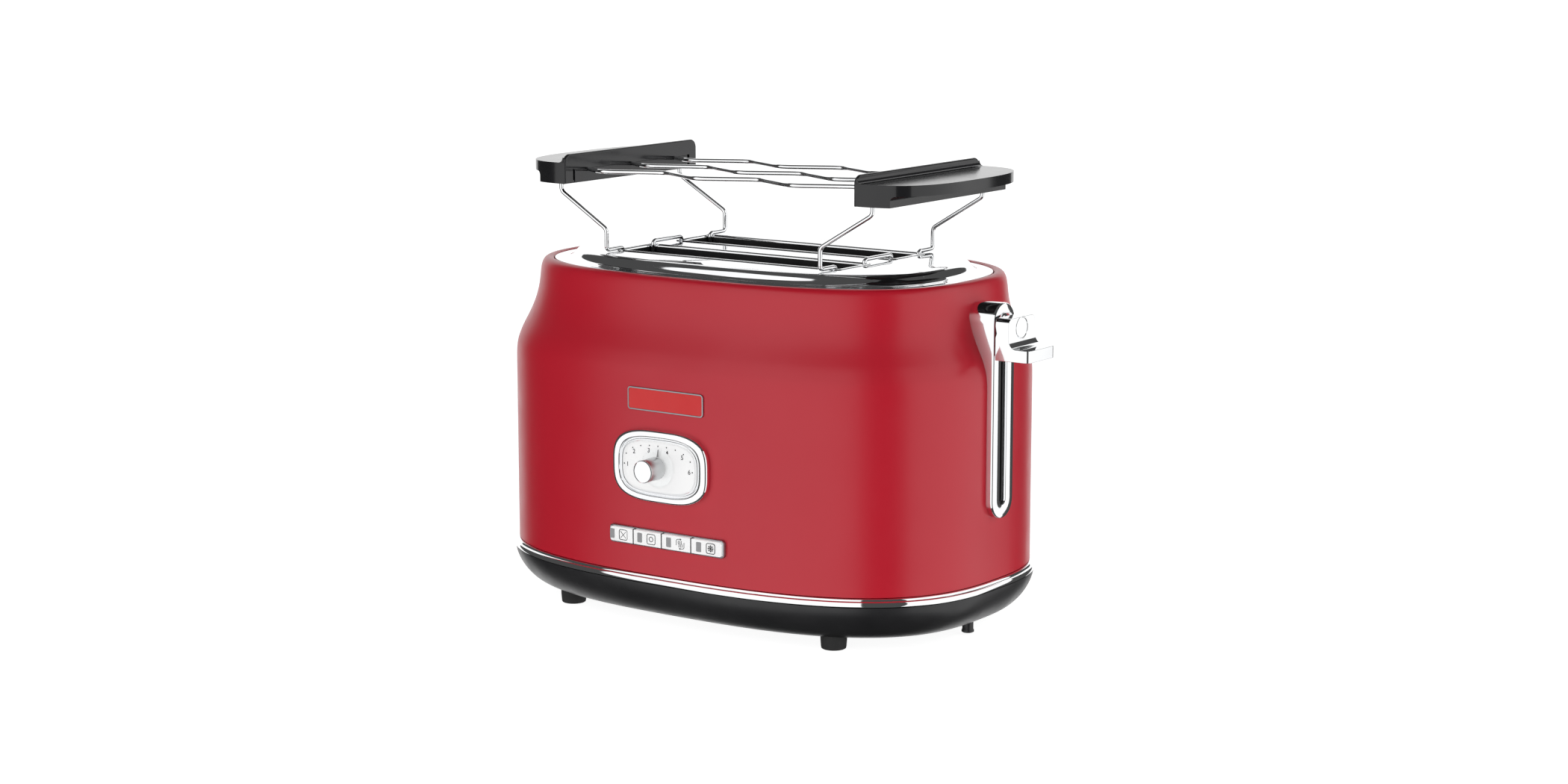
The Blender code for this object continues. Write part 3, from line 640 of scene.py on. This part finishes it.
def add_digit(text, x, z, depth):
    curve = bpy.data.curves.new("digit_" + text, "FONT")
    curve.body = text
    curve.size = 3.4 * MM
    curve.extrude = 0.04 * MM
    curve.offset = 0.03 * MM
    curve.align_x = "CENTER"
    curve.align_y = "CENTER"
    holder = link("holder", curve)
    holder.rotation_euler = (math.pi / 2, 0.0, 0.0)
    holder.location = MIDDLE + Vector((x, depth, z)) * MM
    bpy.context.view_layer.update()
    view = bpy.context.evaluated_depsgraph_get()
    mesh = bpy.data.meshes.new_from_object(holder.evaluated_get(view))
    mesh.transform(holder.matrix_world)
    bpy.data.objects.remove(holder)
    finish_piece(link("digit_" + text, mesh), FINISH["ink"], "housing")


def build_knob():
    low, high = cad_box("browning_knob")
    centre = (0.0, (low.z + high.z) / 2)
    radius = high.x
    base = cad_box("dial_skirt")[0].y - 0.2
    end = low.y
    shaft = 2.9
    shaft_end = -90.0
    knob = ((0.1, end + 0.3), (radius - 0.6, end + 0.3), (radius - 0.2, end + 0.45),
            (radius - 0.1, end + 0.6), (radius, base - 0.6), (radius - 0.2, base - 0.1), (radius - 0.5, base),
            (shaft, base), (shaft, shaft_end), (0.1, shaft_end))
    add("knob_body", turned(knob, "y", centre, 96), FINISH["satin"], "dial", ["browning_knob"])
    cap = ((0.1, end), (radius - 1.1, end), (radius - 0.9, end + 0.005), (radius - 0.35, end + 0.08),
           (radius - 0.02, end + 0.45), (radius - 0.02, end + 0.7), (0.1, end + 0.7))
    add("knob_cap", turned(cap, "y", centre, 96), FINISH["chrome"], "dial")
    skirt_low, skirt_high = cad_box("dial_skirt")
    outer = skirt_high.x
    rings = [on_plane(moved(circle(r, 96), *centre), "y", y) for r, y in
             ((3.2, skirt_low.y), (outer - 0.5, skirt_low.y), (outer, skirt_low.y + 0.3),
              (outer, skirt_high.y), (3.2, skirt_high.y))]
    add("skirt_disc", loft(rings, closed=True), FINISH["clear"], "dial", ["dial_skirt"])
    tilt = math.radians(7.0)
    wedge = []
    near, far = radius + 0.1, outer - 0.3
    for across, along in ((-0.55, near), (0.55, near), (0.3, far), (-0.3, far)):
        wedge.append((across * math.cos(tilt) + along * math.sin(tilt),
                      along * math.cos(tilt) - across * math.sin(tilt) + centre[1]))
    pointer = prism(wedge, "y", skirt_low.y - 0.35, skirt_low.y)
    add("dial_pointer", pointer, FINISH["lens"], "dial", bevel=0.12)


def middle_and_half(low, high):
    """Centre and half size of a box seen from the front, in X and Z."""
    return (((low.x + high.x) / 2, (low.z + high.z) / 2), ((high.x - low.x) / 2, (high.z - low.z) / 2))


def front_frame(centre, half, corner, profile):
    """A rounded frame on the front, from (inset from its outside, depth) round its section."""
    rings = []
    for inset, depth in profile:
        outline = rounded_rectangle(half[0] - inset, half[1] - inset, corner - inset, 6)
        rings.append(on_plane(moved(outline, *centre), "y", depth))
    return on_face(loft(rings, closed=True))


def stroke_square(centre_x, centre_z):
    return [(centre_x + x, 0.0, centre_z + z) for x, z in rounded_rectangle(SIGN_HALF, SIGN_HALF, 1.0, 5)]


def icon_lines(label, x, z):
    """Open and closed strokes of each button's sign, in X and Z."""
    reach = 1.75
    if label == "cancel":
        cross = [[(x - reach, 0, z - reach), (x + reach, 0, z + reach)],
                 [(x - reach, 0, z + reach), (x + reach, 0, z - reach)]]
        return cross, [stroke_square(x, z)]
    if label == "one_side":
        ring = [(x + 1.25 * math.cos(t), 0, z + 1.25 * math.sin(t)) for t in
                [2 * math.pi * step / 24 for step in range(24)]]
        return [], [stroke_square(x, z), ring]
    if label == "reheat":
        waves = []
        for shift in (-1.0, 0.0, 1.0):
            waves.append([(x + shift + 0.35 * math.sin(step / 12 * 2 * math.pi), 0, z - 1.7 + 3.4 * step / 12)
                          for step in range(13)])
        upper = [(x - 2.5, 0, z - 0.9), (x - 2.5, 0, z + 1.5), (x - 2.2, 0, z + 2.2), (x - 1.5, 0, z + 2.5),
                 (x + 0.6, 0, z + 2.5)]
        arrow_up = [(x - 0.1, 0, z + 3.0), (x + 0.7, 0, z + 2.5), (x - 0.1, 0, z + 2.0)]
        lower = [(2 * x - a, 0, 2 * z - c) for a, _, c in upper]
        arrow_down = [(2 * x - a, 0, 2 * z - c) for a, _, c in arrow_up]
        return waves + [upper, lower, arrow_up, arrow_down], []
    flake = []
    for turn in range(4):
        angle = math.pi * turn / 4
        across, up = math.cos(angle), math.sin(angle)
        flake.append([(x - 1.8 * across, 0, z - 1.8 * up), (x + 1.8 * across, 0, z + 1.8 * up)])
        for side in (-1, 1):
            for lean in (-0.5, 0.5):
                tip = angle + lean
                flake.append([(x + side * 1.0 * across, 0, z + side * 1.0 * up),
                              (x + side * (1.0 * across + 0.7 * math.cos(tip)), 0,
                               z + side * (1.0 * up + 0.7 * math.sin(tip)))])
    return flake, [stroke_square(x, z)]


def build_buttons():
    low, high = cad_box("button_frame")
    centre, half = middle_and_half(low, high)
    profile = ((0.0, high.y + 2.0), (0.0, low.y + 0.5), (0.12, low.y + 0.15), (0.4, low.y),
               (0.62, low.y + 0.1), (0.78, low.y + 0.5), (0.8, high.y + 2.0))
    surround = front_frame(centre, half, 2.0, profile)
    add("button_surround", surround, FINISH["silver"], "housing", ["button_frame"])
    ends = {label: cad_box("button_" + label) for label in BUTTON_LABELS}
    gaps = []
    for before, after in zip(BUTTON_LABELS, BUTTON_LABELS[1:]):
        left, right = ends[before][1].x + 0.03, ends[after][0].x - 0.03
        front = ends[before][0].y + 0.08
        gaps.append(box((left, front, low.z + 0.8), (right, low.y + 3.5, high.z - 0.8)))
    add("button_dividers", on_face(merged(*gaps)), FINISH["base"], "housing")
    for label in BUTTON_LABELS:
        build_button(label)


def cap_outline(half_x, half_z, round_left, round_right):
    """A rectangle whose left corners and right corners have different radii."""
    steps = 5
    right = [point for point in rounded_rectangle(half_x, half_z, round_right, steps) if point[0] > 0]
    left = [point for point in rounded_rectangle(half_x, half_z, round_left, steps) if point[0] < 0]
    return right[:steps + 1] + left + right[steps + 1:]


def build_button(label):
    """A white cap with a lamp at its left and a printed sign at its right."""
    body = label + "_key"
    low, high = cad_box("button_" + label)
    (x, z), (half_x, half_z) = middle_and_half(low, high)
    half_z += 0.15
    front = low.y
    inner_corner, outer_corner = 0.25, 1.15
    round_left = outer_corner if label == BUTTON_LABELS[0] else inner_corner
    round_right = outer_corner if label == BUTTON_LABELS[-1] else inner_corner
    rings = []
    for inset, depth in ((0.16, 0.0), (0.05, 0.04), (0.0, 0.16), (0.0, 4.4)):
        outline = cap_outline(half_x - inset, half_z - inset, round_left, round_right)
        rings.append(on_plane(moved(outline, x, z), "y", front + depth))
    add(label + "_cap", on_face(loft(rings)), FINISH["button"], body, ["button_" + label])
    lamp_x = high.x - 14.0
    lamp = prism(moved(rounded_rectangle(1.6, 2.6, 0.5, 4), lamp_x, z), "y", front - 0.05, front + 0.3)
    add(label + "_lamp", on_face(lamp), FINISH["lens"], body, bevel=0.05, segments=2)
    lines, loops = icon_lines(label, high.x - 6.4, z)
    drop = front - 0.02 + face_drop(x)
    lifted = [[(a, drop, c) for a, _, c in line] for line in lines]
    rings = [[(a, drop, c) for a, _, c in loop] for loop in loops]
    if lifted:
        add_wires(label + "_sign", lifted, 0.15, FINISH["ink"], body, sides=2)
    if rings:
        add_wires(label + "_sign_ring", rings, 0.19, FINISH["ink"], body, sides=2, closed=True)


def build_badge():
    low, high = cad_box("badge_plate")
    centre, half = middle_and_half(low, high)
    back = high.y + 0.6
    profile = ((0.0, back), (0.0, low.y + 0.15), (0.12, low.y), (0.66, low.y), (0.78, low.y + 0.12),
               (0.78, back))
    border = front_frame(centre, half, 1.9, profile)
    add("badge_border", border, FINISH["silver"], "housing", ["badge_plate"])
    outline = moved(rounded_rectangle(half[0] - 0.7, half[1] - 0.7, 1.2, 6), *centre)
    field = on_face(prism(outline, "y", low.y + 0.2, back))
    add("badge_field", field, FINISH["badge"], "housing")


# ---------------------------------------------------------------- lever end

def build_lever():
    low, high = cad_box("lever_trim")
    half = high.y
    # inset from the outside and X: outer flank, face, then down into the slot
    profile = ((0.0, low.x), (0.0, high.x - 1.4), (0.15, high.x - 0.7), (0.6, high.x - 0.15), (1.3, high.x),
               (6.6, high.x), (7.3, high.x - 0.15), (7.7, high.x - 0.7), (7.75, high.x - 2.0), (7.75, low.x))
    rings = [on_plane(stadium(half - inset, low.z + inset, high.z - inset), "x", x) for inset, x in profile]
    add("lever_trim_chrome", loft(rings, closed=True), FINISH["chrome"], "housing", ["lever_trim"])
    liner = [on_plane(stadium(half - inset, low.z + inset, high.z - inset), "x", x) for inset, x in
             ((7.6, low.x - 4.0), (7.6, high.x - 2.2), (8.6, high.x - 2.2), (8.6, low.x - 4.0))]
    add("lever_slot_liner", loft(liner, closed=True), FINISH["base"], "housing")
    build_lever_handle()


def build_lever_handle():
    low, high = cad_box("lever_handle")
    back, tip = low.x, high.x
    face = back + 7.8
    shelf = low.z + 6.3
    half = high.y
    cove = 4.8
    profile = [(back, low.z), (tip, low.z), (tip, shelf)]
    for step in range(9):
        angle = math.pi / 2 * step / 8
        profile.append((face + cove * (1 - math.sin(angle)), shelf + cove * (1 - math.cos(angle))))
    profile += [(face, high.z), (back, high.z)]
    lever = link("lever_grip", make_mesh("lever_grip", prism(profile, "y", -half, half)))
    face_outline = moved(rounded_rectangle(half, 40.0, 3.6, 8), 0.0, high.z - 40.0)
    boolean(lever, prism(face_outline, "x", back - 1.0, tip + 1.0), "INTERSECT")
    plan = moved(rounded_rectangle(40.0, half, 3.0, 8), tip - 40.0, 0.0)
    boolean(lever, prism(plan, "z", low.z - 1.0, high.z + 1.0), "INTERSECT")
    shade(lever.data, CUT_SHARP)
    finish_piece(lever, FINISH["chrome"], "lift", ["lever_handle"], bevel=0.45)
    centre = (0.0, (shelf + cove + high.z) / 2 - 0.4)
    rings = [on_plane(moved(circle(r, 64), *centre), "x", face + x) for r, x in
             ((5.9, -0.2), (5.9, 0.15), (5.7, 0.3), (5.35, 0.3), (5.15, 0.1), (5.1, -0.2))]
    add("lever_ring", loft(rings, closed=True), FINISH["chrome"], "lift")


# ---------------------------------------------------------------- warming rack

def build_handle(label, side):
    """A thin upright plate with a half-moon shelf, over a block that ends under the shelf's outer half."""
    node = "rack_handle_" + label
    low, high = cad_box(node)
    inner = min(abs(low.x), abs(high.x))
    reach = max(abs(low.x), abs(high.x)) - inner
    half = high.y
    bottom = low.z + 0.1
    moon_top = high.z - 4.5
    moon_low = moon_top - 5.6
    # the plate, from its flat inner face to its outer face, with rounded top corners and edges
    corner = 4.6
    rings = []
    for depth, inset in ((0.0, 0.9), (0.12, 0.5), (0.4, 0.18), (0.9, 0.0), (1.35, 0.0), (1.8, 0.18),
                         (2.08, 0.5), (2.2, 0.9)):
        outline = [(half - inset, low.z + inset), (half - inset, high.z - corner)]
        for step in range(1, 11):
            angle = math.pi / 2 * step / 10
            outline.append((half - corner + (corner - inset) * math.cos(angle),
                            high.z - corner + (corner - inset) * math.sin(angle)))
        outline += [(-y, z) for y, z in reversed(outline)]
        rings.append(on_plane(outline, "x", side * (inner + depth)))
    handle = link("grip_" + label, make_mesh("grip", loft(rings)))
    # shelf and block share one outline, flush with the plate's ends
    arc = [(x, y) for x, y in superellipse(reach, half, 3.0, 200) if x > 4.0]
    arc.sort(key=lambda point: point[1])
    arc = [(0.9, -half)] + arc + [(0.9, half)]
    moon = [(side * (inner + x), y) for x, y in arc]
    boolean(handle, prism(moon, "z", bottom, moon_top), "UNION")
    # hollow fillet between the plate and the top of the shelf
    fillet_out = 4.8
    fillet_size = 2.7
    section = [(1.4, moon_top - 0.4), (fillet_out, moon_top - 0.4), (fillet_out, moon_top)]
    for step in range(7):
        angle = math.pi / 2 * step / 6
        section.append((fillet_out - fillet_size * math.sin(angle),
                        moon_top + fillet_size * (1 - math.cos(angle))))
    section.append((1.4, moon_top + fillet_size))
    fillet = [(side * (inner + x), z) for x, z in section]
    boolean(handle, prism(fillet, "y", 0.3 - half, half - 0.3), "UNION")
    # cut away the block under the outer half of the shelf, with a hollow corner up to the shelf
    block = 20.2
    hollow = 2.6
    beyond = 5.0
    under = [(block, bottom - beyond)]
    for step in range(7):
        angle = math.pi / 2 * step / 6
        under.append((block + hollow * (1 - math.cos(angle)), moon_low - hollow * (1 - math.sin(angle))))
    under += [(reach + beyond, moon_low), (reach + beyond, bottom - beyond)]
    cutter = [(side * (inner + x), z) for x, z in under]
    boolean(handle, prism(cutter, "y", -half - beyond, half + beyond), "DIFFERENCE")
    # shallow recess for the cover strip on the inner side, with a deep slot at each of its ends
    recess_half = 52.5
    recess_top = 238.2
    slot_at = recess_half - 0.8
    recess_x = sorted((side * (inner - 0.5), side * (inner + 0.5)))
    slot_x = sorted((side * (inner - 0.5), side * (inner + 1.7)))
    recess = box((recess_x[0], -recess_half, low.z - 1.0), (recess_x[1], recess_half, recess_top))
    boolean(handle, recess, "DIFFERENCE")
    for y in (-slot_at, slot_at):
        slot = box((slot_x[0], y - 0.8, low.z + 1.6), (slot_x[1], y + 0.8, recess_top))
        boolean(handle, slot, "DIFFERENCE")
    shade(handle.data, CUT_SHARP)
    finish_piece(handle, FINISH["handle"], "rack", [node], bevel=0.4)
    strip_half = 50.7
    strip_x = sorted((side * (inner + 0.08), side * (inner + 0.52)))
    strip = box((strip_x[0], -strip_half, low.z + 0.6), (strip_x[1], strip_half, recess_top - 0.5))
    add("grip_cover_" + label, strip, FINISH["handle"], "rack", bevel=0.15)


def build_leg(label, side):
    """One wire: down from the handle, over the deck's edge, through both slots and back up."""
    node = "rack_leg_" + label
    low, high = cad_box(node)
    radius = WIRE_RADIUS
    foot_x = min(abs(low.x), abs(high.x)) + radius
    top_x = max(abs(low.x), abs(high.x)) - radius
    top_y = 53.2
    foot_y = high.y - radius
    deck_z = DECK_TOP + RACK_CLEARANCE + radius
    dip_z = low.z + radius
    slot_outer = SLOT_OUTER - radius - RACK_CLEARANCE
    slot_inner = SLOT_INNER + radius + RACK_CLEARANCE
    half = ((top_x, top_y, high.z + 0.6), (top_x, top_y, 226.0), (foot_x, foot_y, 207.1),
            (foot_x, foot_y, deck_z), (foot_x, slot_outer, deck_z), (foot_x, slot_outer, dip_z),
            (foot_x, slot_inner, dip_z), (foot_x, slot_inner, deck_z + 0.9))
    front = [(x, -y, z) for x, y, z in half]
    corners = [(side * x, y, z) for x, y, z in front + list(reversed(half))]
    add_wires("leg_wire_" + label, [rounded_path(corners, 2.4, 10)], radius, FINISH["chrome"], "rack", [node])


def build_supports():
    for label in ("front", "middle", "rear"):
        node = "rack_wire_" + label
        low, high = cad_box(node)
        radius = WIRE_RADIUS
        middle = (low.y + high.y) / 2
        height = (low.z + high.z) / 2
        end = cad_box("rack_handle_right")[0].x + 0.6
        runs = 6
        run = 2 * (end - 0.6) / runs
        swing = 8.0
        corners = [(-end, middle, height)]
        for index in range(runs):
            shift = -swing if index % 2 == 0 else swing
            corners.append((run * (index + 0.5 - runs / 2), middle + shift, height))
        corners.append((end, middle, height))
        add_wires("support_wire_" + label, [rounded_path(corners, 7.0, 12)], radius, FINISH["chrome"], "rack",
                  [node])


def build_rack():
    for label, side in (("left", -1), ("right", 1)):
        build_handle(label, side)
        build_leg(label, side)
    build_supports()


# ---------------------------------------------------------------- CAD pieces that stay

def paint(node, finish):
    material, _ = finish
    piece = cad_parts[node]
    piece.data.materials.clear()
    piece.data.materials.append(material)


def paint_inside():
    # the darkened steels on the inner parts carry painted shade for the deep slots
    looks = {"cord_bushing": "rubber", "dial_control": "base", "control_board": "board", "carriage": "inner_dark",
             "bread_lifter_front": "inner_dark", "bread_lifter_rear": "inner_dark", "guide_rod": "inner_dark",
             "return_spring": "inner_dark", "latch_magnet": "coil", "end_plate_left": "dark",
             "end_plate_right": "dark", "reflector_front": "dark", "reflector_rear": "dark",
             "heater_front": "mica", "heater_centre": "mica", "heater_rear": "mica",
             "guard_front_outer": "inner_dark", "guard_front_inner": "inner_dark", "guard_rear_inner": "inner_dark",
             "guard_rear_outer": "inner_dark", "crumb_tray": "steel"}
    for node, look in looks.items():
        paint(node, FINISH[look])


# ---------------------------------------------------------------- stage

def build_floor():
    size = 6000.0
    mesh = make_mesh("floor", ([(-size, -size, 0), (size, -size, 0), (size, size, 0), (-size, size, 0)],
                               [(0, 1, 2, 3)]))
    floor = link("floor", mesh)
    material, shader = new_material("floor_paper", (0.6, 0.6, 0.6), 0.0, 0.9)
    shader.inputs["Specular IOR Level"].default_value = 0.0
    shader.inputs["Emission Color"].default_value = (1.0, 1.0, 1.0, 1.0)
    shader.inputs["Emission Strength"].default_value = FLOOR_GLOW
    vary_colour(material, shader, noise_node(material, 4.0), (0.59, 0.59, 0.59), (0.61, 0.61, 0.61))
    floor.data.materials.append(material)
    floor.visible_glossy = False
    floor.visible_diffuse = False


class Graph:
    """Short calls for building a chain of number nodes."""

    def __init__(self, tree):
        self.nodes = tree.nodes
        self.links = tree.links

    def put(self, socket, value):
        if hasattr(value, "is_linked"):
            self.links.new(value, socket)
        else:
            socket.default_value = value

    def math(self, operation, *values):
        node = self.nodes.new("ShaderNodeMath")
        node.operation = operation
        for socket, value in zip(node.inputs, values):
            self.put(socket, value)
        return node.outputs["Value"]

    def step(self, value, start, end):
        """Smooth step from 0 at start to 1 at end."""
        node = self.nodes.new("ShaderNodeMapRange")
        node.interpolation_type = "SMOOTHSTEP"
        self.put(node.inputs["Value"], value)
        node.inputs["From Min"].default_value = start
        node.inputs["From Max"].default_value = end
        return node.outputs["Result"]


def build_light():
    """Tall white soft boxes standing round the toaster in a dim room, made as the world's light."""
    world = bpy.data.worlds.new("studio")
    bpy.context.scene.world = world
    world.use_nodes = True
    graph = Graph(world.node_tree)
    nodes, links = graph.nodes, graph.links
    place = nodes.new("ShaderNodeTexCoord")
    split = nodes.new("ShaderNodeSeparateXYZ")
    links.new(place.outputs["Generated"], split.inputs["Vector"])
    across, along, up = split.outputs
    azimuth = graph.math("ARCTAN2", across, graph.math("MULTIPLY", along, -1.0))
    elevation = graph.math("ARCSINE", up)
    soft = math.radians(0.6)
    panels = 0.0
    for start, end in SOFT_BOXES:
        middle = math.radians((start + end) / 2)
        half = math.radians((end - start) / 2)
        turned_away = graph.math("ABSOLUTE", graph.math("WRAP", graph.math("SUBTRACT", azimuth, middle),
                                                       math.pi, -math.pi))
        panels = graph.math("ADD", panels, graph.step(turned_away, half + soft, half - soft))
    low = graph.step(elevation, math.radians(SOFT_BOX_LOW) - soft, math.radians(SOFT_BOX_LOW) + soft)
    high = graph.step(elevation, math.radians(SOFT_BOX_HIGH) + soft, math.radians(SOFT_BOX_HIGH) - soft)
    lit = graph.math("MULTIPLY", panels, graph.math("MULTIPLY", low, high))
    strength = graph.math("MULTIPLY_ADD", lit, SOFT_BOX_STRENGTH - ROOM_STRENGTH, ROOM_STRENGTH)
    # rays straight from the camera see plain white, all others see the soft boxes
    seen = nodes.new("ShaderNodeLightPath").outputs["Is Camera Ray"]
    strength = graph.math("MAXIMUM", strength, graph.math("MULTIPLY", seen, 1.05))
    background = nodes["Background"]
    background.inputs["Color"].default_value = (1.0, 1.0, 1.0, 1.0)
    links.new(strength, background.inputs["Strength"])


def build_camera():
    azimuth = math.radians(CAMERA_AZIMUTH)
    elevation = math.radians(CAMERA_ELEVATION)
    back = Vector((math.sin(azimuth) * math.cos(elevation), -math.cos(azimuth) * math.cos(elevation),
                   math.sin(elevation)))
    data = bpy.data.cameras.new("camera")
    data.lens = CAMERA_LENS
    data.sensor_width = CAMERA_SENSOR
    camera = link("camera", data)
    camera.location = MIDDLE + (Vector(CAMERA_TARGET) + back * CAMERA_DISTANCE) * MM
    camera.rotation_mode = "QUATERNION"
    camera.rotation_quaternion = (-back).to_track_quat("-Z", "Y")
    data.clip_start = 0.05
    data.clip_end = 50.0
    bpy.context.scene.camera = camera


FINISH = make_finishes()
build_camera()
build_light()
build_floor()
build_shell()
build_deck()
build_base()
build_band()
build_feet()
build_dial()
build_buttons()
build_badge()
build_lever()
build_rack()
paint_inside()
bpy.context.scene.view_settings.view_transform = "Standard"
